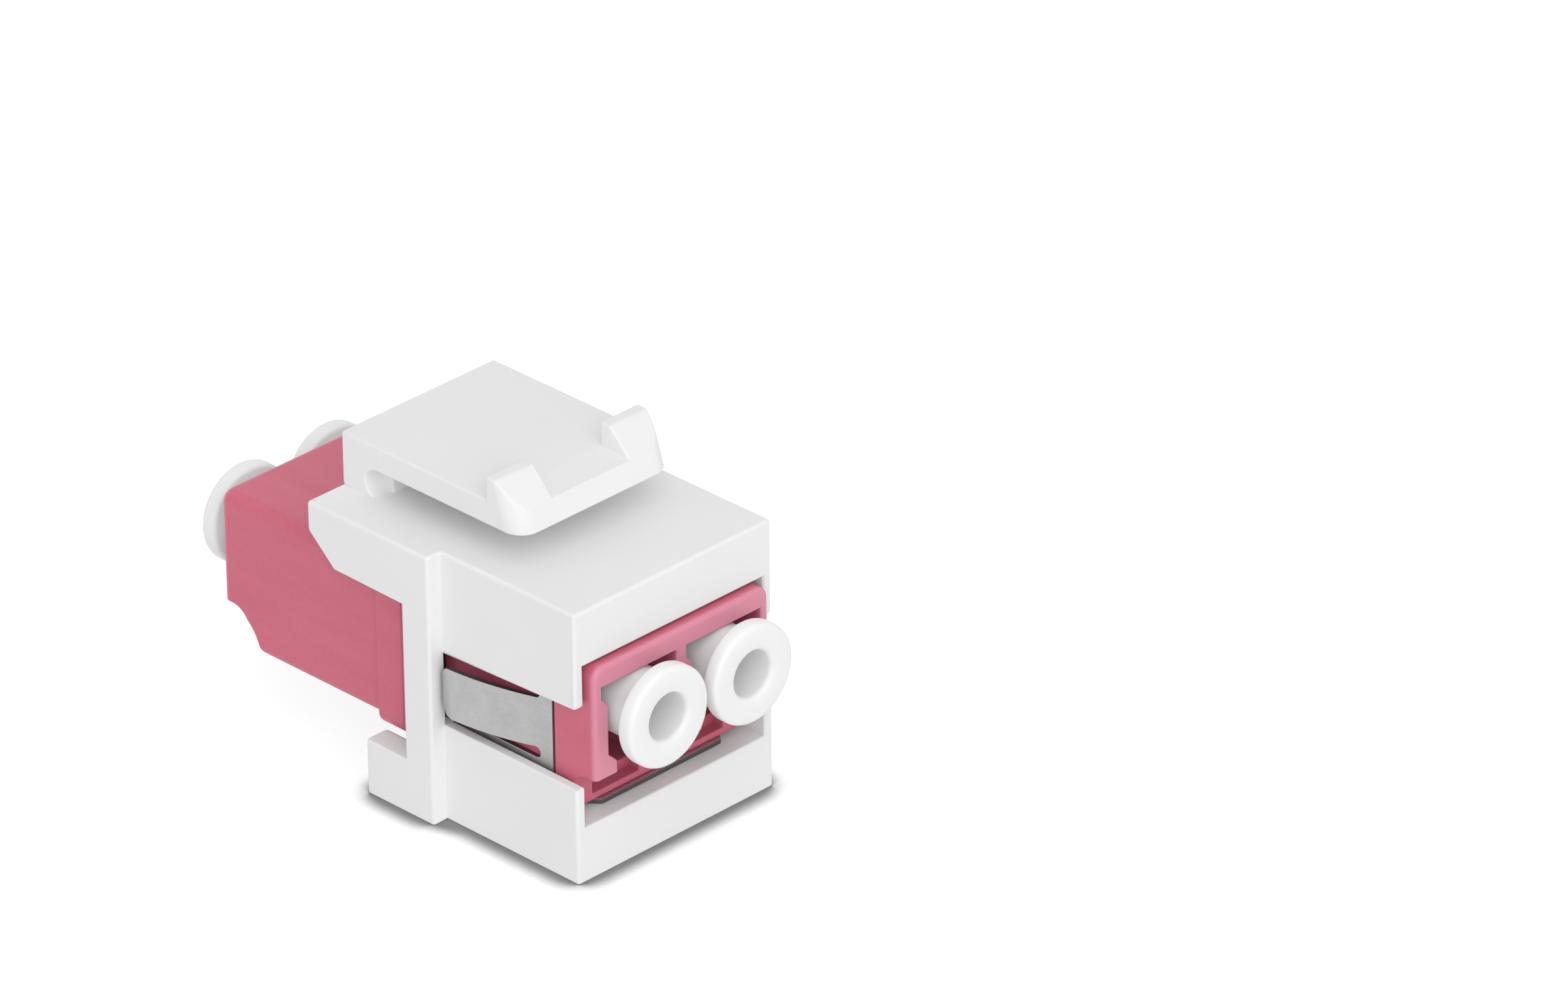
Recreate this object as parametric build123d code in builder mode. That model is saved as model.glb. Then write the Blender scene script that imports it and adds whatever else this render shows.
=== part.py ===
from build123d import *
import os

os.makedirs("parts", exist_ok=True)

# A duplex fibre coupler held in a keystone frame.
# X runs across both ports, +Y from the panel side to the cable side, +Z up.
# Y = 0 is the mid-plane of the adapter, Z = 0 the base of the frame.

# Adapter housing: two halves from one mould, joined at the mid-plane
adapter_width = 12.9
adapter_height = 9.15
adapter_length = 28.5
adapter_edge_radius = 0.7
adapter_end_radius = 0.3
flange_length = 3.93
flange_proud_side = 0.35
flange_proud_level = 0.285
flange_edge_radius = 0.8
port_pitch = 6.25
port_axis_drop = 3.25
port_roof_rise = 2.05
port_width = 4.6
port_shoulder_width = 5.5
port_shoulder_depth = 0.75
port_shoulder_chamfer = 0.45
port_sill_drop = 2.15
foot_reach = 0.6
foot_slope = 0.55
foot_height = 0.75
foot_depth = 2.2
latch_room_drop = 4.9
heel_setback = 1.9
heel_radius = 1.35
heel_lip_height = 0.4
heel_channel_depth = 0.8
web_thickness = 1.6
gauge_mark_width = 0.55
gauge_mark_length = 1.7
gauge_mark_depth = 0.25
gauge_mark_offset = 0.175
gauge_mark_distance = 4.25

# Alignment sleeves and the tubes that hold them
sleeve_length = 11.4
sleeve_outer_radius = 0.81
sleeve_bore_radius = 0.625
sleeve_slit = 0.3
sleeve_clearance = 0.05
holder_radius = 1.35
holder_lip_thickness = 0.4
holder_lip_radius = 0.7

# Spring clip, folded from strip
clip_thickness = 0.3
clip_proud = 0.05
clip_bend_radius = 0.6
clip_clearance = 0.05
clip_front_gap = 3.15
clip_band_front_gap = 1.65
clip_band_corner = 1.2
clip_rear_gap = 0.35
clip_top_level = 11.8
clip_slot_width = 0.6
clip_slot_level = 6.28
clip_tab_length = 5.85
clip_tab_gap = 0.3
clip_tab_width = 3.02
clip_tab_flare = 1.15
clip_tab_bow = 0.24
clip_tab_corner = 0.7
clip_tab_top_corner = 0.4

# Keystone frame
body_length = 9.95
roof_thickness = 3.27
side_wall = 0.6
side_gap = 0.15
floor_level = 3.28
clip_float = 0.07
ceiling_gap = 0.13
sill_level = 6.4
sill_radius = 0.6
lip_level_front = 10.5
lip_level_rear = 10.15
lip_radius = 0.25
wing_reach = 1.0
shoulder_thickness = 1.735
shoulder_relief = 0.37
post_length = 2.1
arm_width = 1.25
arm_roof_gap = 0.17
plate_length = 9.18
plate_edge_height = 1.7
plate_chamfer_length = 1.96
plate_chamfer_height = 1.75
base_length = 5.13
base_wall_level = 3.32
base_wall_width = 1.78
base_wall_radius = 0.5
base_floor = 1.36
rib_thickness = 0.6
rib_pitch = 3.1
rib_count = 4
rib_level = 3.1
rib_end_gap = 0.15
frame_edge_radius = 0.2

# Latch
latch_width = 11.2
latch_slot = 1.67
latch_thickness = 1.48
latch_root_thickness = 1.75
latch_hinge_gap = 0.98
latch_block_width = 9.0
latch_tip = 5.5
latch_tip_lean = 0.45
latch_tip_fall = 0.15
latch_corner_radius = 1.2
lug_face = 8.16
lug_gap = 5.6
lug_height = 1.35
lug_crest = 0.73

# Dust caps
cap_flange_radius = 2.9
cap_flange_thickness = 1.03
cap_flange_gap = 1.17
cap_barrel_clearance = 0.05
cap_bore_radius = 1.35
cap_web = 1.0
cap_socket_clearance = 0.06
cap_socket_depth = 1.5
cap_edge_chamfer = 0.25

# Levels and stations that follow from the sizes above
adapter_base = floor_level + clip_float + clip_thickness
adapter_top = adapter_base + adapter_height
adapter_middle = adapter_base + adapter_height / 2
adapter_end = adapter_length / 2
flange_face = flange_length / 2
flange_width = adapter_width + 2 * flange_proud_side
flange_height = adapter_height + 2 * flange_proud_level
port_axis = adapter_top - port_axis_drop
port_sill = port_axis - port_sill_drop
foot_base = port_sill - foot_slope - foot_height
latch_room_base = port_axis - latch_room_drop
port_sides = (-port_pitch / 2, port_pitch / 2)
web_face = web_thickness / 2
holder_end = sleeve_length / 2 + sleeve_clearance + holder_lip_thickness

step = -(flange_face + shoulder_thickness)
frame_front = step - body_length
post_rear = step + post_length
base_rear = step + base_length
plate_rear = step + plate_length
ceiling = adapter_top + ceiling_gap
body_height = ceiling + roof_thickness
arm_level = body_height - plate_edge_height - plate_chamfer_height
arm_roof = adapter_middle + flange_height / 2 + arm_roof_gap
clip_outer_width = adapter_width + 2 * clip_proud
cavity_width = clip_outer_width + 2 * side_gap
body_width = cavity_width + 2 * side_wall
wing_width = body_width + 2 * wing_reach
shoulder_opening = clip_outer_width + 2 * clip_clearance

latch_base = body_height + latch_slot
latch_top = latch_base + latch_thickness
latch_slot_rear = plate_rear - latch_root_thickness
latch_hinge = latch_slot_rear - latch_hinge_gap

# Outline of a port's mouth about its axis: shoulders at the top, feet at the bottom
shoulder_base = port_roof_rise - port_shoulder_depth
foot_edge = port_width / 2 - foot_reach
mouth_right = [
    (foot_edge, foot_base - port_axis),
    (foot_edge, -port_sill_drop - foot_slope),
    (port_width / 2, -port_sill_drop),
    (port_width / 2, shoulder_base - port_shoulder_chamfer),
    (port_shoulder_width / 2, shoulder_base),
    (port_shoulder_width / 2, port_roof_rise),
]
mouth_left = [(-across, up) for across, up in reversed(mouth_right)]

# Housing half, made once with its mouth at -Y
with BuildPart() as housing_half:
    with BuildSketch(Plane.XZ):
        with Locations((0, adapter_middle)):
            RectangleRounded(adapter_width, adapter_height, adapter_edge_radius)
    extrude(amount=adapter_end)
    fillet(housing_half.faces().sort_by(Axis.Y)[0].edges(), adapter_end_radius)
    with BuildSketch(Plane.XZ):
        with Locations((0, adapter_middle)):
            RectangleRounded(flange_width, flange_height, flange_edge_radius)
    extrude(amount=flange_face)

    # Heel: the floor and lower side walls stop short of the mouth
    with BuildSketch(Plane.YZ):
        with BuildLine():
            heel = -adapter_end + heel_setback
            heel_top = foot_base - heel_radius
            Line((-adapter_end, foot_base), (heel - heel_radius, foot_base))
            RadiusArc((heel - heel_radius, foot_base), (heel, heel_top), heel_radius)
            Polyline(
                (heel, heel_top),
                (heel, adapter_base - flange_proud_level),
                (-adapter_end, adapter_base - flange_proud_level),
                (-adapter_end, foot_base),
            )
        make_face()
    extrude(amount=flange_width / 2, both=True, mode=Mode.SUBTRACT)

    # Ports: shouldered mouth, two feet, and room behind them for the plug's latch
    with BuildSketch(Plane.XZ.offset(web_face)):
        with Locations(*[(side, port_axis) for side in port_sides]):
            Polygon(*mouth_right, *mouth_left, align=None)
    extrude(amount=adapter_end - web_face, mode=Mode.SUBTRACT)
    with BuildSketch(Plane.XZ.offset(web_face)):
        with Locations(*[(side, latch_room_base) for side in port_sides]):
            Rectangle(port_width, port_sill - latch_room_base, align=(Align.CENTER, Align.MIN))
    extrude(amount=adapter_end - foot_depth - web_face, mode=Mode.SUBTRACT)

    # Between the feet the latch of a plug passes down in front of the heel and through a channel in it
    channel_length = heel_setback + heel_channel_depth
    with BuildSketch(Plane.XY.offset(adapter_base + heel_lip_height)):
        with Locations(*[(side, -adapter_end + channel_length / 2) for side in port_sides]):
            Rectangle(2 * foot_edge, channel_length)
    extrude(amount=foot_base - adapter_base - heel_lip_height, mode=Mode.SUBTRACT)

    # Sleeve holders
    with BuildSketch(Plane.XZ):
        with Locations(*[(side, port_axis) for side in port_sides]):
            Circle(holder_radius)
    extrude(amount=holder_end)
    with BuildSketch(Plane.XZ):
        with Locations(*[(side, port_axis) for side in port_sides]):
            Circle(holder_lip_radius)
    extrude(amount=holder_end, mode=Mode.SUBTRACT)
    with BuildSketch(Plane.XZ):
        with Locations(*[(side, port_axis) for side in port_sides]):
            Circle(sleeve_outer_radius + sleeve_clearance)
    extrude(amount=holder_end - holder_lip_thickness, mode=Mode.SUBTRACT)

    # Small mould mark in the roof, ramped at the end towards the mouth
    with BuildSketch(Plane.YZ.offset(-gauge_mark_offset)):
        mark_near = -gauge_mark_distance
        mark_far = mark_near - gauge_mark_length
        with BuildLine():
            Polyline(
                (mark_near, adapter_top),
                (mark_near, adapter_top - gauge_mark_depth),
                (mark_far + gauge_mark_depth, adapter_top - gauge_mark_depth),
                (mark_far, adapter_top),
                close=True,
            )
        make_face()
    extrude(amount=gauge_mark_width / 2, both=True, mode=Mode.SUBTRACT)

with BuildPart() as adapter_front_half:
    add(housing_half.part)

    # The sides and underside are let in by the thickness of the clip
    with BuildSketch(Plane.XZ.offset(flange_face)):
        with Locations((0, clip_top_level + clip_clearance)):
            Rectangle(flange_width, clip_top_level, align=(Align.CENTER, Align.MAX))
        with Locations((0, adapter_base)):
            RectangleRounded(
                clip_outer_width - 2 * clip_thickness,
                adapter_height,
                clip_bend_radius,
                align=(Align.CENTER, Align.MIN),
                mode=Mode.SUBTRACT,
            )
    extrude(amount=adapter_end - clip_front_gap + clip_clearance - flange_face, mode=Mode.SUBTRACT)

with BuildPart() as adapter_rear_half:
    add(housing_half.part.rotate(Axis.Z, 180))

# Split ceramic sleeves, one on each port axis
sleeves = {}
for name, side in zip(("sleeve_left", "sleeve_right"), port_sides):
    with BuildPart() as sleeve:
        with BuildSketch(Plane.XZ):
            with Locations((side, port_axis)):
                Circle(sleeve_outer_radius)
                Circle(sleeve_bore_radius, mode=Mode.SUBTRACT)
            with Locations((side, port_axis + sleeve_outer_radius)):
                Rectangle(sleeve_slit, 2 * sleeve_outer_radius, mode=Mode.SUBTRACT)
        extrude(amount=sleeve_length / 2, both=True)
    sleeves[name] = sleeve

# Spring clip: a band under the adapter and a panel up each side
clip_front = -adapter_end + clip_front_gap
clip_band_front = -adapter_end + clip_band_front_gap
clip_rear = -flange_face - clip_rear_gap
clip_half = clip_outer_width / 2
clip_inner_half = clip_half - clip_thickness
clip_base = adapter_base - clip_thickness
tab_tip = step - clip_tab_gap
tab_root = tab_tip - clip_tab_length
tab_base = clip_slot_level + clip_slot_width / 2
tab_top = tab_base + clip_tab_width

with BuildPart() as spring_clip:
    with BuildSketch(Plane.XZ.offset(-clip_rear)):
        with Locations((0, clip_base)):
            RectangleRounded(
                clip_outer_width,
                2 * (clip_top_level - clip_base),
                clip_bend_radius + clip_thickness,
                align=(Align.CENTER, Align.MIN),
            )
        with Locations((0, adapter_base)):
            RectangleRounded(
                2 * clip_inner_half,
                2 * (clip_top_level - clip_base),
                clip_bend_radius,
                align=(Align.CENTER, Align.MIN),
                mode=Mode.SUBTRACT,
            )
        with Locations((0, clip_top_level)):
            Rectangle(
                clip_outer_width,
                2 * (clip_top_level - clip_base),
                align=(Align.CENTER, Align.MIN),
                mode=Mode.SUBTRACT,
            )
    extrude(amount=clip_rear - clip_front)

    # The band runs on past the panels, with its corners cut off
    band_half = clip_inner_half - clip_bend_radius
    with BuildSketch(Plane.XY.offset(clip_base)):
        with BuildLine():
            Polyline(
                (-band_half, clip_front),
                (-band_half + clip_band_corner, clip_band_front),
                (band_half - clip_band_corner, clip_band_front),
                (band_half, clip_front),
                close=True,
            )
        make_face()
    extrude(amount=clip_thickness)

    # A slot round three sides frees the tab in each panel
    with BuildSketch(Plane.YZ):
        with Locations((tab_root, clip_slot_level), (tab_root, tab_top + clip_slot_width / 2)):
            Circle(clip_slot_width / 2)
        with Locations((tab_root, clip_slot_level - clip_slot_width / 2)):
            Rectangle(step - tab_root, clip_tab_width + 2 * clip_slot_width, align=(Align.MIN, Align.MIN))
        with Locations((tab_root, tab_base)):
            Rectangle(clip_slot_width, clip_tab_width, align=(Align.MAX, Align.MIN), mode=Mode.SUBTRACT)
    extrude(amount=clip_half, both=True, mode=Mode.SUBTRACT)

# Each tab bows outwards from its root, with its free corners rounded
with BuildPart() as clip_tab:
    with BuildSketch(Plane.XY.offset(tab_base)):
        with BuildLine():
            outer_tip = (clip_half + clip_tab_flare, tab_tip)
            inner_tip = (clip_half + clip_tab_flare - clip_thickness, tab_tip)
            outer_middle = (clip_half + clip_tab_flare / 2 + clip_tab_bow, (tab_root + tab_tip) / 2)
            inner_middle = (outer_middle[0] - clip_thickness, outer_middle[1])
            ThreePointArc((clip_half, tab_root), outer_middle, outer_tip)
            Line(outer_tip, inner_tip)
            ThreePointArc(inner_tip, inner_middle, (clip_inner_half, tab_root))
            Line((clip_inner_half, tab_root), (clip_half, tab_root))
        make_face()
    extrude(amount=clip_tab_width)
    with BuildSketch(Plane.YZ.offset(clip_inner_half)):
        with Locations((tab_root, tab_base)):
            Rectangle(clip_tab_length, clip_tab_width, align=(Align.MIN, Align.MIN))
        fillet(vertices().group_by(Axis.Y)[0].sort_by(Axis.X)[-1], clip_tab_corner)
        fillet(vertices().group_by(Axis.Y)[-1].sort_by(Axis.X)[-1], clip_tab_top_corner)
    extrude(amount=clip_tab_flare + clip_thickness, mode=Mode.INTERSECT)

with spring_clip:
    add(clip_tab.part)
    add(mirror(clip_tab.part, about=Plane.YZ))

# Keystone frame
with BuildPart() as keystone_frame:
    with BuildSketch(Plane.YZ):
        with Locations((frame_front, 0)):
            Rectangle(body_length, body_height, align=(Align.MIN, Align.MIN))
    extrude(amount=body_width / 2, both=True)
    with BuildSketch(Plane.YZ):
        with BuildLine():
            Polyline(
                (step, 0),
                (base_rear, 0),
                (base_rear, base_wall_level),
                (post_rear, base_wall_level),
                (post_rear, arm_level),
                (plate_rear - plate_chamfer_length, arm_level),
                (plate_rear, arm_level + plate_chamfer_height),
                (plate_rear, body_height),
                (step, body_height),
                close=True,
            )
        make_face()
    extrude(amount=wing_width / 2, both=True)
    outer_edges = (
        keystone_frame.edges().filter_by(Axis.Z).group_by(Axis.Y)[0]
        + keystone_frame.faces().sort_by(Axis.Z)[-1].edges()
        + keystone_frame.edges().filter_by(Axis.Z).group_by(Axis.X)[0]
        + keystone_frame.edges().filter_by(Axis.Z).group_by(Axis.X)[-1]
    )
    fillet(outer_edges, frame_edge_radius)

    # Passage for the adapter: open mouth, shoulder for its flange, roof between the arms
    with BuildSketch(Plane.XZ.offset(-step)):
        with Locations((0, floor_level)):
            Rectangle(cavity_width, ceiling - floor_level, align=(Align.CENTER, Align.MIN))
    extrude(amount=body_length, mode=Mode.SUBTRACT)
    with BuildSketch(Plane.XZ.offset(flange_face)):
        with Locations((0, floor_level)):
            Rectangle(shoulder_opening, ceiling - floor_level, align=(Align.CENTER, Align.MIN))
        with Locations((0, sill_level)):
            Rectangle(
                shoulder_opening + 2 * shoulder_relief,
                lip_level_rear - sill_level,
                align=(Align.CENTER, Align.MIN),
            )
    extrude(amount=shoulder_thickness, mode=Mode.SUBTRACT)
    with BuildSketch(Plane.XZ.offset(flange_face)):
        with Locations((0, base_wall_level)):
            Rectangle(body_width, arm_level - base_wall_level, align=(Align.CENTER, Align.MIN))
        with Locations((0, arm_level)):
            Rectangle(wing_width - 2 * arm_width, arm_roof - arm_level, align=(Align.CENTER, Align.MIN))
    extrude(amount=-(plate_rear + flange_face), mode=Mode.SUBTRACT)

    # Side windows, open at the front
    with BuildSketch(Plane.YZ):
        with BuildLine():
            CenterArc((frame_front + sill_radius, sill_level - sill_radius), sill_radius, 90, 90)
            Line((frame_front, sill_level - sill_radius), (frame_front, lip_level_front + lip_radius))
            CenterArc((frame_front + lip_radius, lip_level_front + lip_radius), lip_radius, 180, 90)
            Polyline(
                (frame_front + lip_radius, lip_level_front),
                (step, lip_level_rear),
                (step, sill_level),
                (frame_front + sill_radius, sill_level),
            )
        make_face()
    extrude(amount=body_width / 2, both=True, mode=Mode.SUBTRACT)

    # Open-topped channel in the base, with ribs along it
    channel_width = wing_width - 2 * base_wall_width
    rounding = (channel_width / 2 + base_wall_radius, base_wall_level - base_wall_radius)
    with BuildSketch(Plane.XZ.offset(-base_rear)):
        with Locations((0, base_floor)):
            Rectangle(channel_width, base_wall_level - base_floor, align=(Align.CENTER, Align.MIN))
        with Locations((0, base_wall_level)):
            Rectangle(2 * rounding[0], base_wall_radius, align=(Align.CENTER, Align.MAX))
        with Locations(rounding, (-rounding[0], rounding[1])):
            Circle(base_wall_radius, mode=Mode.SUBTRACT)
    extrude(amount=base_rear + flange_face, mode=Mode.SUBTRACT)
    with BuildSketch(Plane.XY.offset(base_floor)):
        with Locations((0, (base_rear - rib_end_gap - flange_face) / 2)):
            with GridLocations(rib_pitch, 0, rib_count, 1):
                Rectangle(rib_thickness, base_rear - rib_end_gap + flange_face)
    extrude(amount=rib_level - base_floor)

    # Root of the latch: wall, rounded slot end, short start of the arm and a block under it
    with BuildSketch(Plane.YZ):
        with Locations((latch_hinge, body_height)):
            Rectangle(plate_rear - latch_hinge, latch_top - body_height, align=(Align.MIN, Align.MIN))
        with Locations((latch_slot_rear - latch_slot / 2, body_height + latch_slot / 2)):
            Circle(latch_slot / 2, mode=Mode.SUBTRACT)
        with Locations((latch_hinge, body_height)):
            Rectangle(
                latch_slot_rear - latch_slot / 2 - latch_hinge,
                latch_slot,
                align=(Align.MIN, Align.MIN),
                mode=Mode.SUBTRACT,
            )
    extrude(amount=latch_width / 2, both=True)
    with BuildSketch(Plane.XY.offset(body_height)):
        with Locations((0, latch_hinge)):
            Rectangle(latch_block_width, latch_slot_rear - latch_hinge, align=(Align.CENTER, Align.MIN))
    extrude(amount=latch_slot)

# Latch: a plate with two lugs that snap over the edge of the panel opening
tip = frame_front + latch_tip
lug_rear = frame_front + lug_face
lug_top = latch_top + lug_height
lug_foot = (tip + latch_tip_lean, latch_top - latch_tip_fall)
lean_at_top = latch_tip_lean * (lug_top - latch_base) / (lug_foot[1] - latch_base)
with BuildPart() as latch_arm:
    # Blank as high as the lugs, with a leaning front whose corners are rounded
    with BuildSketch(Plane.YZ):
        with BuildLine():
            Polyline(
                (latch_hinge, latch_base),
                (latch_hinge, lug_top),
                (tip + lean_at_top, lug_top),
                (tip, latch_base),
                close=True,
            )
        make_face()
    extrude(amount=latch_width / 2, both=True)
    leaning_front = latch_arm.faces().sort_by(Axis.Y)[0]
    fillet(leaning_front.edges().filter_by(Axis.X, reverse=True), latch_corner_radius)

    # Plate behind the lugs, slope up to their crests, and the space between them
    with BuildSketch(Plane.YZ):
        with Locations((lug_rear, latch_top)):
            Rectangle(latch_hinge - lug_rear, lug_height, align=(Align.MIN, Align.MIN))
        with BuildLine():
            Polyline(
                lug_foot,
                (lug_rear - lug_crest, lug_top),
                (lug_foot[0], lug_top),
                close=True,
            )
        make_face()
    extrude(amount=latch_width / 2, both=True, mode=Mode.SUBTRACT)
    with BuildSketch(Plane.YZ):
        with BuildLine():
            Polyline(
                lug_foot,
                (lug_rear, latch_top),
                (lug_rear, lug_top),
                (lug_foot[0], lug_top),
                close=True,
            )
        make_face()
    extrude(amount=lug_gap / 2, both=True, mode=Mode.SUBTRACT)

# Dust caps: a flanged plug whose inner end fits over the sleeve holder
cap_seat = adapter_end + cap_flange_gap
cap_face = cap_seat + cap_flange_thickness
cap_barrel_radius = port_roof_rise - cap_barrel_clearance
cap_socket_radius = holder_radius + cap_socket_clearance
cap_socket_floor = holder_end + cap_socket_clearance
cap_inner_end = holder_end - cap_socket_depth
caps = {}
for end_name, mouthwards in (("front", -1), ("rear", 1)):
    for side_name, side in zip(("left", "right"), port_sides):
        with BuildPart() as cap:
            with BuildSketch(Plane.XY.offset(port_axis)):
                with Locations((side, 0)):
                    Polygon(
                        (0, mouthwards * cap_socket_floor),
                        (cap_socket_radius, mouthwards * cap_socket_floor),
                        (cap_socket_radius, mouthwards * cap_inner_end),
                        (cap_barrel_radius, mouthwards * cap_inner_end),
                        (cap_barrel_radius, mouthwards * cap_seat),
                        (cap_flange_radius, mouthwards * cap_seat),
                        (cap_flange_radius, mouthwards * cap_face),
                        (cap_bore_radius, mouthwards * cap_face),
                        (cap_bore_radius, mouthwards * (cap_socket_floor + cap_web)),
                        (0, mouthwards * (cap_socket_floor + cap_web)),
                        align=None,
                    )
                rim = vertices().group_by(Axis.X)[-1].sort_by(Axis.Y)
                chamfer(rim[0 if mouthwards < 0 else -1], cap_edge_chamfer)
            revolve(axis=Axis((side, 0, port_axis), (0, 1, 0)))
        caps[f"dust_cap_{end_name}_{side_name}"] = cap

nodes = {
    "keystone_frame": keystone_frame,
    "latch_arm": latch_arm,
    "adapter_front_half": adapter_front_half,
    "adapter_rear_half": adapter_rear_half,
    "spring_clip": spring_clip,
    **sleeves,
    **caps,
}
for name, node in nodes.items():
    node.part.label = name
    export_step(node.part, f"parts/{name}.step")
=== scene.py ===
import math

import bmesh
import bpy
from bpy.props import FloatProperty, FloatVectorProperty, IntProperty, PointerProperty
from mathutils import Matrix, Vector


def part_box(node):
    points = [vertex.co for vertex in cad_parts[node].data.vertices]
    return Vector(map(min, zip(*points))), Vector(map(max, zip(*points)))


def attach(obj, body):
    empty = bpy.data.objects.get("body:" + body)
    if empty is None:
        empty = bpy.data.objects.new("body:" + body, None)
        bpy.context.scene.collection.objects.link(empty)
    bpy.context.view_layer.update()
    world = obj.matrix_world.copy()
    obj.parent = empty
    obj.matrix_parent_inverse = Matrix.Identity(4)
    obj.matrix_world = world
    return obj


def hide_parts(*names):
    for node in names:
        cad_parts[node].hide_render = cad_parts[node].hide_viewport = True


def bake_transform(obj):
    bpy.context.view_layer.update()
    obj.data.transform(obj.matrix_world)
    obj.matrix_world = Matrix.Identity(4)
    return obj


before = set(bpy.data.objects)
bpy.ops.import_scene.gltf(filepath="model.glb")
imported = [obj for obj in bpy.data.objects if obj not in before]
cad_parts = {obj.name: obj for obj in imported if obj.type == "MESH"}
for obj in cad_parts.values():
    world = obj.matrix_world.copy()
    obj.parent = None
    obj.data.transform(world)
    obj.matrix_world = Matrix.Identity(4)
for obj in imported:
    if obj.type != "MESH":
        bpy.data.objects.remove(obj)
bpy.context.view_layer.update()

bl_info = {
    "name": "Duplex fibre coupler",
    "version": (1, 0, 0),
    "blender": (4, 5, 0),
    "location": "3D View > Sidebar > Coupler",
    "description": "Dresses the packed coupler: mouldings, clip, caps, materials and stage",
    "category": "Object",
}

MM = 0.001

# The packed pieces that the visible ones are worked out from
LATCH_LOW, LATCH_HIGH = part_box("latch_arm")
FRAME_LOW, FRAME_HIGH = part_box("keystone_frame")
CLIP_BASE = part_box("spring_clip")[0].z
ADAPTER_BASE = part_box("adapter_rear_half")[0].z
ADAPTER_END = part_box("adapter_rear_half")[1].y
CAP_NODES = [name for name in sorted(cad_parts) if name.startswith("dust_cap_")]

# The side windows run from the open front of the body to the shoulder, which is wider than the body
BODY_LENGTH = 9.95 * MM
SHOULDER_THICKNESS = 1.735 * MM
SHOULDER_REACH = 1.0 * MM
WINDOW_REAR = FRAME_LOW.y + BODY_LENGTH
SHOULDER_REAR = WINDOW_REAR + SHOULDER_THICKNESS
BODY_HALF_WIDTH = FRAME_HIGH.x - SHOULDER_REACH
# Level of the windows' upper edge at the shoulder, and one inside their opening, over the sills
WINDOW_LIP = 10.15 * MM
INSIDE_WINDOW = 7.0 * MM
RIGHT_ACROSS = 2 * FRAME_HIGH.x

# How far a cut runs past the faces that it opens
PAST_FRONT = 1 * MM
PAST_SHOULDER = 0.01 * MM
PAST_WINDOW = 0.2 * MM

# The hollow under the heel is cut by a bar with this many sides, turned so that no corner of it
# lies on a face that it cuts
HEEL_SIDES = 48
HEEL_DEGREES = 1

# Points of a packed mesh that are closer than this are joined, and faces that turn by less
SAME_POINT = 0.0005 * MM
FLAT_TURN = math.radians(0.4)
# Edges that turn by more than these angles are rounded, and shaded as creases
ROUNDED_TURN = math.radians(32)
CREASED_TURN = math.radians(50)
# Pieces that are this close touch, and this width, in metres, is as good as none
TOUCH = 0.001 * MM
NO_WIDTH = 1e-7

# The clip's strip, and the levels up to which its band reaches and from which its panels stand
STRIP_THICKNESS = 0.3 * MM
BAND_TOP = CLIP_BASE + 1.1 * STRIP_THICKNESS
PANEL_START = CLIP_BASE + 3 * STRIP_THICKNESS
# A cut edge is told from a rolled face by its area and by how far its normal leans along or up
LARGEST_END_CUT = STRIP_THICKNESS * 6 * MM
END_CUT_LEAN = 0.7
BAND_CUT_LEAN = 0.4
PANEL_CUT_LEAN = 0.6

# Sockets of a Mix node, which has one of each name for every kind of value. A Mix Shader node
# has the same factor.
FACTOR, NUMBER_A, NUMBER_B, COLOUR_A, COLOUR_B = 0, 2, 3, 6, 7
MIXED_NUMBER, MIXED_COLOUR = 0, 2

# Share of the sky over the sweep up to which it has no light of its own, and from which it has all:
# a painted shadow at the object's foot
DARKEST_PAINTED_SHADOW, OPEN_SWEEP = 0.55, 0.96
SWEEP_LIGHT = 1.2
CONTACT_SAMPLES = 16

# The softboxes: width in metres, and their directions from the object in degrees
LAMP_SIZE = 0.6
OVERHEAD_AZIMUTH, OVERHEAD_ELEVATION = -30, 70
FILL_AZIMUTH, FILL_ELEVATION = -32, 27


def linear(code):
    """The linear RGBA of an sRGB hex colour."""
    channels = [int(code[at:at + 2], 16) / 255 for at in (0, 2, 4)]
    light = [c / 12.92 if c <= 0.04045 else ((c + 0.055) / 1.055) ** 2.4 for c in channels]
    return (*light, 1.0)


def length(name, millimetres, description):
    """A property that holds a length, given here in millimetres."""
    return FloatProperty(
        name=name,
        description=description,
        default=millimetres * MM,
        precision=6,
        subtype="DISTANCE",
        unit="LENGTH",
    )


def angle(name, degrees, description):
    """A property that holds an angle, given here in degrees."""
    return FloatProperty(
        name=name,
        description=description,
        default=math.radians(degrees),
        subtype="ANGLE",
        unit="ROTATION",
    )


def colour(name, code, description):
    """A property that holds a colour, given here as sRGB hex."""
    return FloatVectorProperty(
        name=name, description=description, default=linear(code), size=4, subtype="COLOR"
    )


def amount(name, default, description):
    """A property that holds a plain number, such as a share of full white."""
    return FloatProperty(name=name, description=description, default=default)


class FrameSettings(bpy.types.PropertyGroup):
    """White moulding with its latch."""

    edge_radius: length("Edge radius", 0.13, "Rounding of the moulding's edges")
    sill_rear: length("Sill rear", 5.80, "Level of the side windows' sills at the shoulder")
    sill_front: length("Sill front", 5.72, "Level of the side windows' sills at the open front")
    bend_step: length("Bend step", 0.4, "Distance between the cuts that let the latch bend")
    bend_reach: length("Bend reach", 4.5, "Length of latch over which the bend is spread")
    white: colour("White", "F2F2F2", "Colour of the white plastic")
    white_dull: colour("Dull white", "EDEDED", "Colour of the white plastic in its faint clouds")
    cloud_size: length("Cloud size", 7.0, "Width of the faint clouds in the colour")
    grain_size: length("Grain size", 0.11, "Grain of the spark-eroded mould")
    speck_spacing: length("Speck spacing", 2.6, "Distance between specks of dust")


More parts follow.
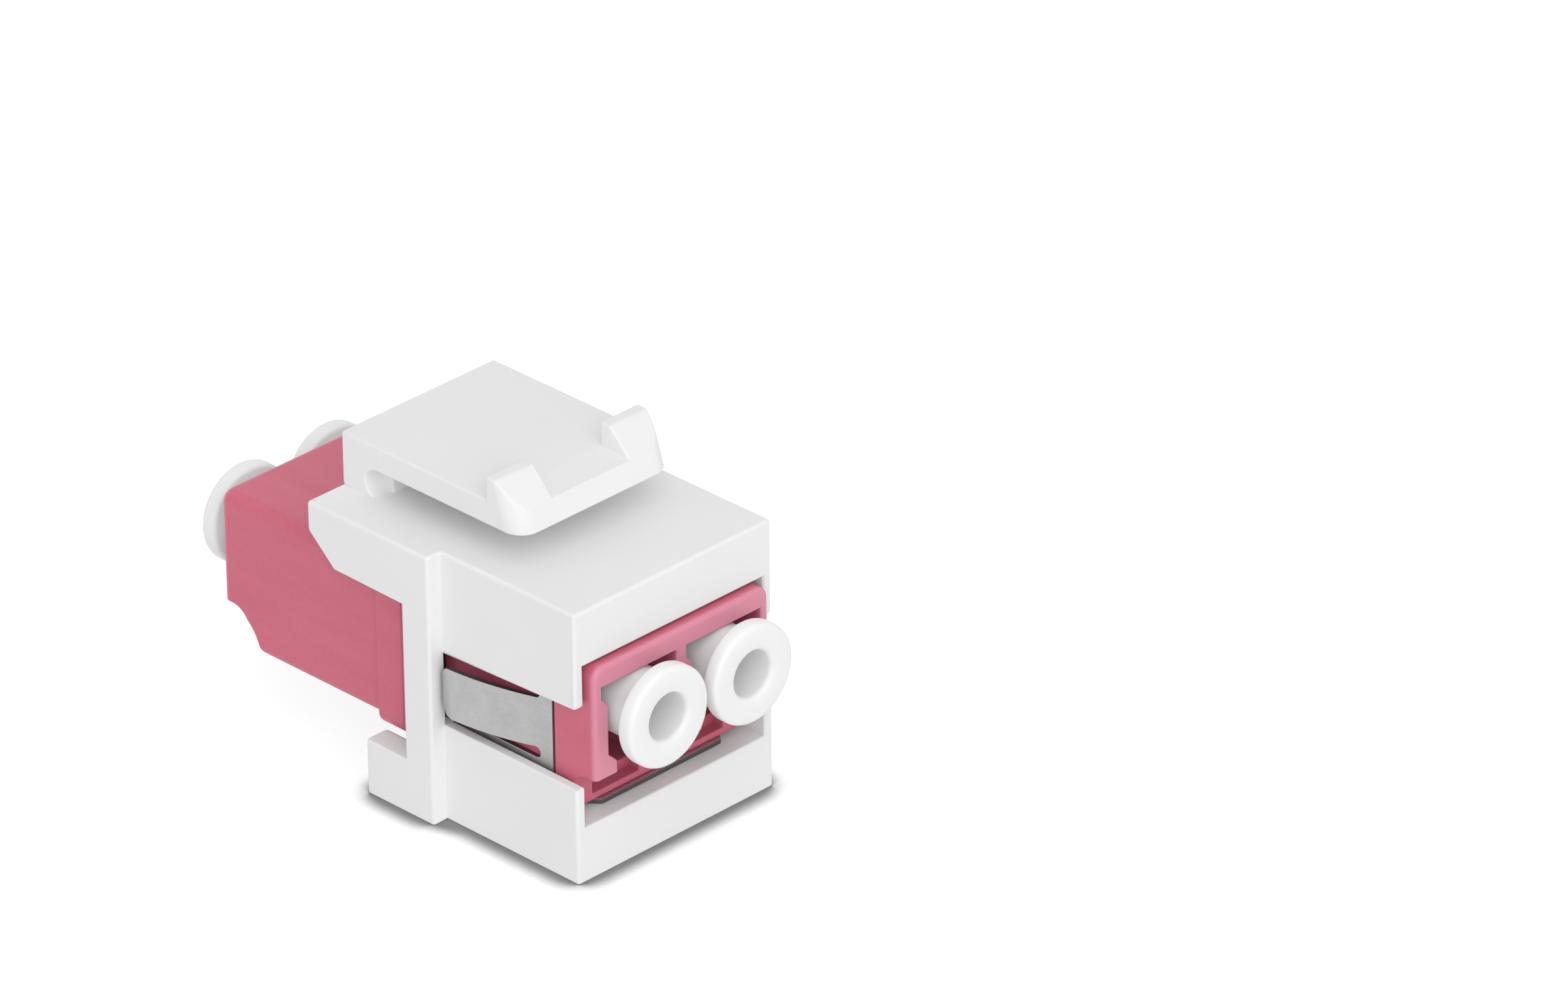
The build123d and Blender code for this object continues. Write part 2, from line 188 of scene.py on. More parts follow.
class AdapterSettings(bpy.types.PropertyGroup):
    """Pink housing halves."""

    edge_radius: length("Edge radius", 0.11, "Rounding of the housing's edges")
    heel_radius: length("Heel radius", 2.7, "Radius of the hollow under the cable end")
    pink: colour("Pink", "CD5D76", "Colour of the pink plastic")
    pink_pale: colour("Pale pink", "D4687F", "Colour along the flow lines")
    # The end pink is a painted highlight on the end faces and on the rims of the mouths
    painted_end_highlight: colour("End pink", "DE8C9F", "Colour of the end faces and of the rims of the mouths")
    highlight_depth: length("End depth", 0.45, "How far the paler colour runs back from the ends")
    spill: amount("Spill", 0.15, "Share of its colour in the light it throws")
    flow_size: length("Flow size", 1.3, "Width of the flow lines")
    mottle_size: length("Mottle size", 0.32, "Width of the mottling in the skin")


class ClipSettings(bpy.types.PropertyGroup):
    """Folded steel strip."""

    edge_radius: length("Edge radius", 0.04, "Rounding of the rolled-over edges")
    window_reach: length("Window reach", 0.88, "How far its windows run past the shoulder's face")
    window_low: length("Window low", 5.98, "Level of the lower edge of the clip's windows")
    window_high: length("Window high", 10.2, "Level of the upper edge of the clip's windows")
    steel: colour("Steel", "C4C3C3", "Colour of the rolled face")
    steel_dull: colour("Dull steel", "B3B2B2", "Colour of the rolled face where it is scuffed")
    sheared: colour("Sheared edge", "7E7B79", "Colour of the cut edges")
    streak_width: length("Streak width", 0.09, "Width of the rolling streaks")
    blotch_size: length("Blotch size", 1.1, "Width of the blotches on the rolled face")


class CapSettings(bpy.types.PropertyGroup):
    """Soft dust caps."""

    flange_thickness: length("Flange thickness", 1.03, "Thickness of the flange")
    barrel_radius: length("Barrel radius", 2.0, "Radius of the plug part")
    bore_radius: length("Bore radius", 1.35, "Radius of the hole in the face")
    socket_radius: length("Socket radius", 1.41, "Radius of the hole in the inner end")
    socket_depth: length("Socket depth", 1.56, "Depth of the hole in the inner end")
    web: length("Web", 1.0, "Wall between the two holes")
    rim_rounding: length("Rim rounding", 0.27, "Rounding of the flange's rim")
    bore_rounding: length("Bore rounding", 0.34, "Rounding of the rim and floor of the face's hole")
    steps_around: IntProperty(
        name="Steps around", description="Faces round the cap", default=96, min=12
    )
    steps_per_corner: IntProperty(
        name="Steps per corner", description="Faces in a rounding", default=6, min=1
    )
    soft_white: colour("Soft white", "F5F5F5", "Colour of the soft plastic")
    soft_white_dull: colour("Dull soft white", "F1F2F2", "Its colour in the waxy clouds")


class StageSettings(bpy.types.PropertyGroup):
    """Floor, light and camera."""

    azimuth: angle("Azimuth", -43.8, "Where the camera stands: 0 is -Y, and +X is positive")
    elevation: angle("Elevation", 29.26, "Height of the camera over the horizon")
    roll: angle("Roll", -1.2, "Turn of the camera about its own axis")
    distance: length("Distance", 555.7, "Distance of the camera from its aim")
    focal_length: amount("Focal length", 241.3, "Focal length in mm")
    shift_x: amount("Shift across", 0.138, "Lens shift across the frame")
    shift_y: amount("Shift up", 0.0801, "Lens shift up the frame")
    aim_y: length("Aim along", -5.65, "Place of the camera's aim along the object")
    aim_z: length("Aim height", 10.0, "Height of the camera's aim")
    sky: amount("Sky", 0.66, "Strength of the even light")
    fill: amount("Fill", 0.36, "Share of full white from the large lamp in front")
    overhead: amount("Overhead", 0.13, "Share of full white from the lamp above")
    lamp_distance: length("Lamp distance", 700.0, "Distance of the lamps from the object")
    glow: amount("Glow", 0.7, "Share of its own light in the sweep, as the camera sees it")
    # The dark line at the object's foot is a painted shadow, drawn from how much of its sky the
    # object hides
    painted_shadow_reach: length("Contact reach", 1.9, "Spread of the dark line at the object's foot")
    floor_size: length("Floor size", 3000.0, "Width of the floor")


def add_node(tree, kind, values=None, links=None, **settings):
    """Adds one node with its settings, the values of its sockets and the links that reach them."""
    node = tree.nodes.new(kind)
    for name, value in settings.items():
        setattr(node, name, value)
    for socket, value in (values or {}).items():
        node.inputs[socket].default_value = value
    for socket, output in (links or {}).items():
        tree.links.new(output, node.inputs[socket])
    return node


def start_material(name):
    """An empty node material."""
    material = bpy.data.materials.new(name)
    material.use_nodes = True
    material.node_tree.nodes.clear()
    return material, material.node_tree


def white_abs_moulded(settings):
    """White ABS from a spark-eroded mould: satin and fine grained, with faint clouds and specks."""
    material, tree = start_material("white_abs_moulded")
    place = add_node(tree, "ShaderNodeTexCoord").outputs["Object"]
    clouds = add_node(
        tree,
        "ShaderNodeTexNoise",
        {"Scale": 1 / settings.cloud_size, "Detail": 2.0, "Roughness": 0.6},
        {"Vector": place},
    )
    tint = add_node(
        tree,
        "ShaderNodeMix",
        {COLOUR_A: settings.white, COLOUR_B: settings.white_dull},
        {FACTOR: clouds.outputs["Fac"]},
        data_type="RGBA",
    )
    # A speck sits in about one cell in twelve, and is about a tenth of a millimetre wide. Its core
    # and its rim are given as shares of a cell's width.
    speckless, speck_core, speck_rim, speck_cover = 0.92, 0.012, 0.022, 0.5
    dust = linear("8C8A88")
    cells = add_node(
        tree, "ShaderNodeTexVoronoi", {"Scale": 1 / settings.speck_spacing}, {"Vector": place}
    )
    cell_draw = add_node(tree, "ShaderNodeSeparateColor", links={"Color": cells.outputs["Color"]})
    chosen = add_node(
        tree,
        "ShaderNodeMath",
        {1: speckless},
        {0: cell_draw.outputs["Red"]},
        operation="GREATER_THAN",
    )
    dot = add_node(
        tree,
        "ShaderNodeMapRange",
        {"From Min": speck_core, "From Max": speck_rim, "To Min": speck_cover, "To Max": 0.0},
        {"Value": cells.outputs["Distance"]},
    )
    speck = add_node(
        tree,
        "ShaderNodeMath",
        links={0: chosen.outputs[0], 1: dot.outputs[0]},
        operation="MULTIPLY",
    )
    specked = add_node(
        tree,
        "ShaderNodeMix",
        {COLOUR_B: dust},
        {FACTOR: speck.outputs[0], COLOUR_A: tint.outputs[MIXED_COLOUR]},
        data_type="RGBA",
    )
    grain = add_node(
        tree,
        "ShaderNodeTexNoise",
        {"Scale": 1 / settings.grain_size, "Detail": 3.0},
        {"Vector": place},
    )
    sheen = add_node(
        tree,
        "ShaderNodeMapRange",
        {"To Min": 0.52, "To Max": 0.64},
        {"Value": grain.outputs["Fac"]},
    )
    relief = add_node(
        tree,
        "ShaderNodeBump",
        {"Strength": 0.5, "Distance": 0.003 * MM},
        {"Height": grain.outputs["Fac"]},
    )
    skin = add_node(
        tree,
        "ShaderNodeBsdfPrincipled",
        {
            "IOR": 1.54,
            "Subsurface Weight": 0.1,
            "Subsurface Radius": (1.0, 1.0, 1.0),
            "Subsurface Scale": 0.12 * MM,
        },
        {
            "Base Color": specked.outputs[MIXED_COLOUR],
            "Roughness": sheen.outputs[0],
            "Normal": relief.outputs[0],
        },
    )
    add_node(tree, "ShaderNodeOutputMaterial", links={"Surface": skin.outputs[0]})
    return material


def pink_pbt_moulded(settings):
    """Pink PBT, moulded: satin, with flow lines across the sides and a mottled skin."""
    material, tree = start_material("pink_pbt_moulded")
    place = add_node(tree, "ShaderNodeTexCoord").outputs["Object"]
    # Flow lines lie aslant on the sides and are five times as long as they are wide
    slant = add_node(
        tree,
        "ShaderNodeMapping",
        {"Rotation": (math.radians(38), 0, 0), "Scale": (1.0, 0.2, 1.0)},
        {"Vector": place},
    )
    flow = add_node(
        tree,
        "ShaderNodeTexNoise",
        {"Scale": 1 / settings.flow_size, "Detail": 3.0, "Distortion": 0.4},
        {"Vector": slant.outputs[0]},
    )
    mottle = add_node(
        tree,
        "ShaderNodeTexNoise",
        {"Scale": 1 / settings.mottle_size, "Detail": 4.0},
        {"Vector": place},
    )
    mottle_share = 0.45
    blend = add_node(
        tree,
        "ShaderNodeMix",
        {FACTOR: mottle_share},
        {NUMBER_A: flow.outputs["Fac"], NUMBER_B: mottle.outputs["Fac"]},
        data_type="FLOAT",
    )
    depth = add_node(
        tree,
        "ShaderNodeMapRange",
        {"From Min": 0.3, "From Max": 0.7},
        {"Value": blend.outputs[MIXED_NUMBER]},
    )
    tint = add_node(
        tree,
        "ShaderNodeMix",
        {COLOUR_A: settings.pink, COLOUR_B: settings.pink_pale},
        {FACTOR: depth.outputs[0]},
        data_type="RGBA",
    )
    # Both ends are painted paler, as a painted highlight, over a narrow band that is full in its
    # last tenth
    along = add_node(tree, "ShaderNodeSeparateXYZ", links={0: place}).outputs["Y"]
    from_middle = add_node(tree, "ShaderNodeMath", links={0: along}, operation="ABSOLUTE")
    highlight_share = add_node(
        tree,
        "ShaderNodeMapRange",
        {
            "From Min": ADAPTER_END - settings.highlight_depth,
            "From Max": ADAPTER_END - 0.1 * settings.highlight_depth,
        },
        {"Value": from_middle.outputs[0]},
        interpolation_type="SMOOTHSTEP",
    )
    highlighted = add_node(
        tree,
        "ShaderNodeMix",
        {COLOUR_B: settings.painted_end_highlight},
        {FACTOR: highlight_share.outputs[0], COLOUR_A: tint.outputs[MIXED_COLOUR]},
        data_type="RGBA",
    )
    # The light that it throws is mostly a pinkish grey, so white pieces beside it stay nearly white
    pinkish_grey = linear("BEAEB2")
    thrown = add_node(
        tree,
        "ShaderNodeMath",
        {1: 1 - settings.spill},
        {0: add_node(tree, "ShaderNodeLightPath").outputs["Is Diffuse Ray"]},
        operation="MULTIPLY",
    )
    spilled = add_node(
        tree,
        "ShaderNodeMix",
        {COLOUR_B: pinkish_grey},
        {FACTOR: thrown.outputs[0], COLOUR_A: highlighted.outputs[MIXED_COLOUR]},
        data_type="RGBA",
    )
    sheen = add_node(
        tree,
        "ShaderNodeMapRange",
        {"To Min": 0.36, "To Max": 0.52},
        {"Value": mottle.outputs["Fac"]},
    )
    relief = add_node(
        tree,
        "ShaderNodeBump",
        {"Strength": 0.6, "Distance": 0.006 * MM},
        {"Height": mottle.outputs["Fac"]},
    )
    skin = add_node(
        tree,
        "ShaderNodeBsdfPrincipled",
        {"IOR": 1.55},
        {
            "Base Color": spilled.outputs[MIXED_COLOUR],
            "Roughness": sheen.outputs[0],
            "Normal": relief.outputs[0],
        },
    )
    add_node(tree, "ShaderNodeOutputMaterial", links={"Surface": skin.outputs[0]})
    return material


def stainless_rolled(settings):
    """Stainless strip, cold rolled: grey and satin, with streaks along the roll and blotches."""
    material, tree = start_material("stainless_rolled")
    place = add_node(tree, "ShaderNodeTexCoord").outputs["Object"]
    # The rolling streaks are drawn coarse enough to show, and 25 times as long as they are wide
    along = add_node(tree, "ShaderNodeMapping", {"Scale": (1.0, 0.04, 1.0)}, {"Vector": place})
    streaks = add_node(
        tree,
        "ShaderNodeTexNoise",
        {"Scale": 1 / settings.streak_width, "Detail": 3.0},
        {"Vector": along.outputs[0]},
    )
    blotches = add_node(
        tree,
        "ShaderNodeTexNoise",
        {"Scale": 1 / settings.blotch_size, "Detail": 5.0, "Roughness": 0.7},
        {"Vector": place},
    )
    blotch_share = 0.6
    blend = add_node(
        tree,
        "ShaderNodeMix",
        {FACTOR: blotch_share},
        {NUMBER_A: streaks.outputs["Fac"], NUMBER_B: blotches.outputs["Fac"]},
        data_type="FLOAT",
    )
    depth = add_node(
        tree,
        "ShaderNodeMapRange",
        {"From Min": 0.3, "From Max": 0.7},
        {"Value": blend.outputs[MIXED_NUMBER]},
    )
    tint = add_node(
        tree,
        "ShaderNodeMix",
        {COLOUR_A: settings.steel, COLOUR_B: settings.steel_dull},
        {FACTOR: depth.outputs[0]},
        data_type="RGBA",
    )
    sheen = add_node(
        tree,
        "ShaderNodeMapRange",
        {"To Min": 0.38, "To Max": 0.5},
        {"Value": blotches.outputs["Fac"]},
    )
    relief = add_node(
        tree,
        "ShaderNodeBump",
        {"Strength": 0.5, "Distance": 0.002 * MM},
        {"Height": streaks.outputs["Fac"]},
    )
    skin = add_node(
        tree,
        "ShaderNodeBsdfPrincipled",
        {"Metallic": 1.0},
        {
            "Base Color": tint.outputs[MIXED_COLOUR],
            "Roughness": sheen.outputs[0],
            "Normal": relief.outputs[0],
        },
    )
    add_node(tree, "ShaderNodeOutputMaterial", links={"Surface": skin.outputs[0]})
    return material


def stainless_sheared(settings):
    """Cut edge of the strip: half burnished, half torn and rougher than the face, and drawn in
    darker colours.
    """
    material, tree = start_material("stainless_sheared")
    place = add_node(tree, "ShaderNodeTexCoord").outputs["Object"]
    # The cut edges are drawn in two dark colours, mixed at random along them
    torn = linear("4E4B4A")
    tears = add_node(
        tree,
        "ShaderNodeTexNoise",
        {"Scale": 1 / settings.streak_width, "Detail": 4.0},
        {"Vector": place},
    )
    tint = add_node(
        tree,
        "ShaderNodeMix",
        {COLOUR_A: torn, COLOUR_B: settings.sheared},
        {FACTOR: tears.outputs["Fac"]},
        data_type="RGBA",
    )
    relief = add_node(
        tree,
        "ShaderNodeBump",
        {"Strength": 0.6, "Distance": 0.006 * MM},
        {"Height": tears.outputs["Fac"]},
    )
    skin = add_node(
        tree,
        "ShaderNodeBsdfPrincipled",
        {"Metallic": 1.0, "Roughness": 0.55},
        {"Base Color": tint.outputs[MIXED_COLOUR], "Normal": relief.outputs[0]},
    )
    add_node(tree, "ShaderNodeOutputMaterial", links={"Surface": skin.outputs[0]})
    return material


def zirconia_polished():
    """Zirconia, ground and polished: ivory white and glossy, with a very fine grinding grain."""
    material, tree = start_material("zirconia_polished")
    place = add_node(tree, "ShaderNodeTexCoord").outputs["Object"]
    # The real grain is too fine to show, so it is drawn coarser
    grain_size = 0.04 * MM
    ivory, ivory_dull = linear("F1EFE8"), linear("EAE7DE")
    grinding = add_node(
        tree, "ShaderNodeTexNoise", {"Scale": 1 / grain_size, "Detail": 2.0}, {"Vector": place}
    )
    tint = add_node(
        tree,
        "ShaderNodeMix",
        {COLOUR_A: ivory, COLOUR_B: ivory_dull},
        {FACTOR: grinding.outputs["Fac"]},
        data_type="RGBA",
    )
    sheen = add_node(
        tree,
        "ShaderNodeMapRange",
        {"To Min": 0.12, "To Max": 0.2},
        {"Value": grinding.outputs["Fac"]},
    )
    skin = add_node(
        tree,
        "ShaderNodeBsdfPrincipled",
        {"IOR": 2.1},
        {"Base Color": tint.outputs[MIXED_COLOUR], "Roughness": sheen.outputs[0]},
    )
    add_node(tree, "ShaderNodeOutputMaterial", links={"Surface": skin.outputs[0]})
    return material


def soft_polyethylene(settings):
    """Soft polyethylene, moulded: milky, so light spreads inside it, with a waxy satin skin."""
    material, tree = start_material("soft_polyethylene")
    place = add_node(tree, "ShaderNodeTexCoord").outputs["Object"]
    cloud_size = 1.6 * MM
    wax = add_node(
        tree, "ShaderNodeTexNoise", {"Scale": 1 / cloud_size, "Detail": 3.0}, {"Vector": place}
    )
    tint = add_node(
        tree,
        "ShaderNodeMix",
        {COLOUR_A: settings.soft_white, COLOUR_B: settings.soft_white_dull},
        {FACTOR: wax.outputs["Fac"]},
        data_type="RGBA",
    )
    sheen = add_node(
        tree, "ShaderNodeMapRange", {"To Min": 0.34, "To Max": 0.48}, {"Value": wax.outputs["Fac"]}
    )
    relief = add_node(
        tree,
        "ShaderNodeBump",
        {"Strength": 0.4, "Distance": 0.012 * MM},
        {"Height": wax.outputs["Fac"]},
    )
    skin = add_node(
        tree,
        "ShaderNodeBsdfPrincipled",
        {
            "IOR": 1.51,
            "Subsurface Weight": 0.6,
            "Subsurface Radius": (1.0, 1.0, 1.0),
            "Subsurface Scale": 0.8 * MM,
        },
        {
            "Base Color": tint.outputs[MIXED_COLOUR],
            "Roughness": sheen.outputs[0],
            "Normal": relief.outputs[0],
        },
    )
    add_node(tree, "ShaderNodeOutputMaterial", links={"Surface": skin.outputs[0]})
    return material


def show(mesh, name):
    """Links a mesh into the scene as an object at the origin."""
    piece = bpy.data.objects.new(name, mesh)
    bpy.context.scene.collection.objects.link(piece)
    return piece


def bake_modifiers(piece):
    """Turns what a piece's modifiers make into its own plain mesh."""
    depsgraph = bpy.context.evaluated_depsgraph_get()
    made = bpy.data.meshes.new_from_object(piece.evaluated_get(depsgraph), depsgraph=depsgraph)
    made.name = piece.name
    piece.modifiers.clear()
    piece.data = made


def coat(piece, *materials):
    """Gives a piece these materials in place of any that it had."""
    piece.data.materials.clear()
    for material in materials:
        piece.data.materials.append(material)


def point_outwards(mesh):
    """Turns the faces of a closed mesh outwards."""
    shape = bmesh.new()
    shape.from_mesh(mesh)
    bmesh.ops.recalc_face_normals(shape, faces=shape.faces)
    shape.to_mesh(mesh)
    shape.free()


def even_shading(piece):
    """Smooth shading whose flat faces stay flat: each normal leans to the larger faces round it."""
    piece.data.shade_smooth()
    piece.data.set_sharp_from_angle(angle=CREASED_TURN)
    weighted = piece.modifiers.new("weighted", "WEIGHTED_NORMAL")
    weighted.keep_sharp = True
    bake_modifiers(piece)


def block(near, far, low, high):
    """The outline of a plain bar in the YZ plane."""
    return [(near, low), (far, low), (far, high), (near, high)]


def take_away(mesh, bars):
    """Cuts bars out of a mesh.

    Each is an outline in the YZ plane with a half width, and runs along X by that to either side.
    """
    piece = show(mesh, "uncut")
    for outline, half_width in bars:
        count = len(outline)
        bar_mesh = bpy.data.meshes.new("bar")
        bar_mesh.from_pydata(
            [(side * half_width, y, z) for side in (-1, 1) for y, z in outline],
            [],
            [tuple(range(count)), tuple(range(count, 2 * count))]
            + [(at, (at + 1) % count, (at + 1) % count + count, at + count) for at in range(count)],
        )
        point_outwards(bar_mesh)
        bar = show(bar_mesh, "bar")
        cut = piece.modifiers.new("cut", "BOOLEAN")
        cut.operation = "DIFFERENCE"
        cut.solver = "EXACT"
        cut.object = bar
        bake_modifiers(piece)
        bpy.data.objects.remove(bar)
    cut_mesh = piece.data
    bpy.data.objects.remove(piece)
    return cut_mesh


def make_faces_whole(shape):
    """Joins loose triangles at their corners, and those that lie flat into one face."""
    bmesh.ops.remove_doubles(shape, verts=shape.verts, dist=SAME_POINT)
    bmesh.ops.dissolve_limit(shape, angle_limit=FLAT_TURN, verts=shape.verts, edges=shape.edges)


def rounded_copy(node, name, radius, stays_crisp=None, steps=3, bars=()):
    """A copy of a CAD node with whole flat faces and rounded outer edges.

    stays_crisp tells, from an edge's two ends, which sharp edges are left as they are. steps is the
    number of faces across a rounding. The bars are cut out of the copy first.
    """
    shape = bmesh.new()
    shape.from_mesh(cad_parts[node].data)
    make_faces_whole(shape)
    if bars:
        whole = bpy.data.meshes.new(name)
        shape.to_mesh(whole)
        shape.clear()
        shape.from_mesh(take_away(whole, bars))
        make_faces_whole(shape)
    weight = shape.edges.layers.float.new("bevel_weight_edge")
    for edge in shape.edges:
        turned = edge.is_convex and edge.calc_face_angle() > ROUNDED_TURN
        crisp = stays_crisp is not None and stays_crisp(*[end.co for end in edge.verts])
        edge[weight] = 1.0 if turned and not crisp else 0.0
    mesh = bpy.data.meshes.new(name)
    shape.to_mesh(mesh)
    shape.free()
    for left_over in ("custom_normal", "sharp_face", "sharp_edge"):
        if left_over in mesh.attributes:
            mesh.attributes.remove(mesh.attributes[left_over])
    piece = show(mesh, name)
    rounding = piece.modifiers.new("rounding", "BEVEL")
    rounding.limit_method = "WEIGHT"
    rounding.width = radius
    rounding.segments = steps
    rounding.use_clamp_overlap = False
    bake_modifiers(piece)
    return piece


def in_hinge_plane(start, end):
    """True of an edge that lies in the plane where the latch leaves the frame."""
    high_enough = min(start.z, end.z) > LATCH_LOW.z - TOUCH
    return high_enough and all(abs(tip.y - LATCH_HIGH.y) < TOUCH for tip in (start, end))


def cut_across(piece, low, high, spacing):
    """Cuts a piece into narrow bays along Y, so that it can bend."""
    shape = bmesh.new()
    shape.from_mesh(piece.data)
    for number in range(1, math.ceil((high - low) / spacing)):
        everything = [*shape.verts, *shape.edges, *shape.faces]
        bmesh.ops.bisect_plane(
            shape,
            geom=everything,
            plane_co=(0, high - number * spacing, 0),
            plane_no=(0, 1, 0),
            dist=NO_WIDTH,
        )
    shape.to_mesh(piece.data)
    shape.free()


class COUPLER_OT_frame(bpy.types.Operator):
    """Makes the white moulding: the frame and its latch, which bends at its root"""

    bl_idname = "coupler.make_frame"
    bl_label = "Make frame and latch"

    def execute(self, context):
        settings = context.scene.coupler_frame
        white = white_abs_moulded(settings)
        past_front = FRAME_LOW.y - PAST_FRONT
        over_sills = [
            (past_front, settings.sill_front),
            (FRAME_LOW.y, settings.sill_front),
            (WINDOW_REAR, settings.sill_rear),
            (WINDOW_REAR, INSIDE_WINDOW),
            (past_front, INSIDE_WINDOW),
        ]
        through_shoulder = block(
            WINDOW_REAR - PAST_SHOULDER,
            SHOULDER_REAR + PAST_SHOULDER,
            settings.sill_rear,
            WINDOW_LIP,
        )
        body = rounded_copy(
            "keystone_frame",
            "frame_moulding",
            settings.edge_radius,
            in_hinge_plane,
            bars=[(over_sills, RIGHT_ACROSS), (through_shoulder, BODY_HALF_WIDTH)],
        )
        latch = rounded_copy("latch_arm", "latch_moulding", settings.edge_radius, in_hinge_plane)
        cut_across(latch, LATCH_LOW.y, LATCH_HIGH.y, settings.bend_step)
        for piece in (body, latch):
            even_shading(piece)
            coat(piece, white)
        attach(body, "frame")
        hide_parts("keystone_frame")
        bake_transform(latch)
        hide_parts("latch_arm")
        return {"FINISHED"}


class COUPLER_OT_adapter(bpy.types.Operator):
    """Makes the two pink housing halves"""

    bl_idname = "coupler.make_adapter"
    bl_label = "Make adapter housing"

    def execute(self, context):
        settings = context.scene.coupler_adapter
        pink = pink_pbt_moulded(settings)
        turns = [
            math.radians(360 * side / HEEL_SIDES + HEEL_DEGREES) for side in range(HEEL_SIDES)
        ]
        heel_hollow = [
            (
                ADAPTER_END + settings.heel_radius * math.cos(turn),
                ADAPTER_BASE + settings.heel_radius * math.sin(turn),
            )
            for turn in turns
        ]
        for end in ("front", "rear"):
            node = f"adapter_{end}_half"
            bars = [(heel_hollow, RIGHT_ACROSS)] if end == "rear" else []
            piece = rounded_copy(node, f"{end}_half_moulding", settings.edge_radius, bars=bars)
            even_shading(piece)
            coat(piece, pink)
            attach(piece, "frame")
            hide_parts(node)
        return {"FINISHED"}


class COUPLER_OT_clip(bpy.types.Operator):
    """Makes the spring clip, with dark cut edges on a satin strip"""

    bl_idname = "coupler.make_clip"
    bl_label = "Make spring clip"

    def execute(self, context):
        settings = context.scene.coupler_clip
        behind_tabs = block(
            WINDOW_REAR - PAST_WINDOW,
            WINDOW_REAR + settings.window_reach,
            settings.window_low,
            settings.window_high,
        )
        piece = rounded_copy(
            "spring_clip",
            "spring_clip_strip",
            settings.edge_radius,
            steps=2,
            bars=[(behind_tabs, RIGHT_ACROSS)],
        )
        even_shading(piece)
        coat(piece, stainless_rolled(settings), stainless_sheared(settings))
        for face in piece.data.polygons:
            along, up = abs(face.normal.y), abs(face.normal.z)
            end_cut = along > END_CUT_LEAN and face.area < LARGEST_END_CUT
            band_cut = face.center.z < BAND_TOP and up < BAND_CUT_LEAN
            panel_cut = face.center.z > PANEL_START and up > PANEL_CUT_LEAN
            face.material_index = int(end_cut or band_cut or panel_cut)
        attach(piece, "frame")
        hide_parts("spring_clip")
        return {"FINISHED"}


class COUPLER_OT_sleeves(bpy.types.Operator):
    """Finishes the two alignment sleeves, which keep their CAD shape"""

    bl_idname = "coupler.make_sleeves"
    bl_label = "Finish sleeves"

    def execute(self, context):
        zirconia = zirconia_polished()
        for node in ("sleeve_left", "sleeve_right"):
            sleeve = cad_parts[node]
            coat(sleeve, zirconia)
        return {"FINISHED"}


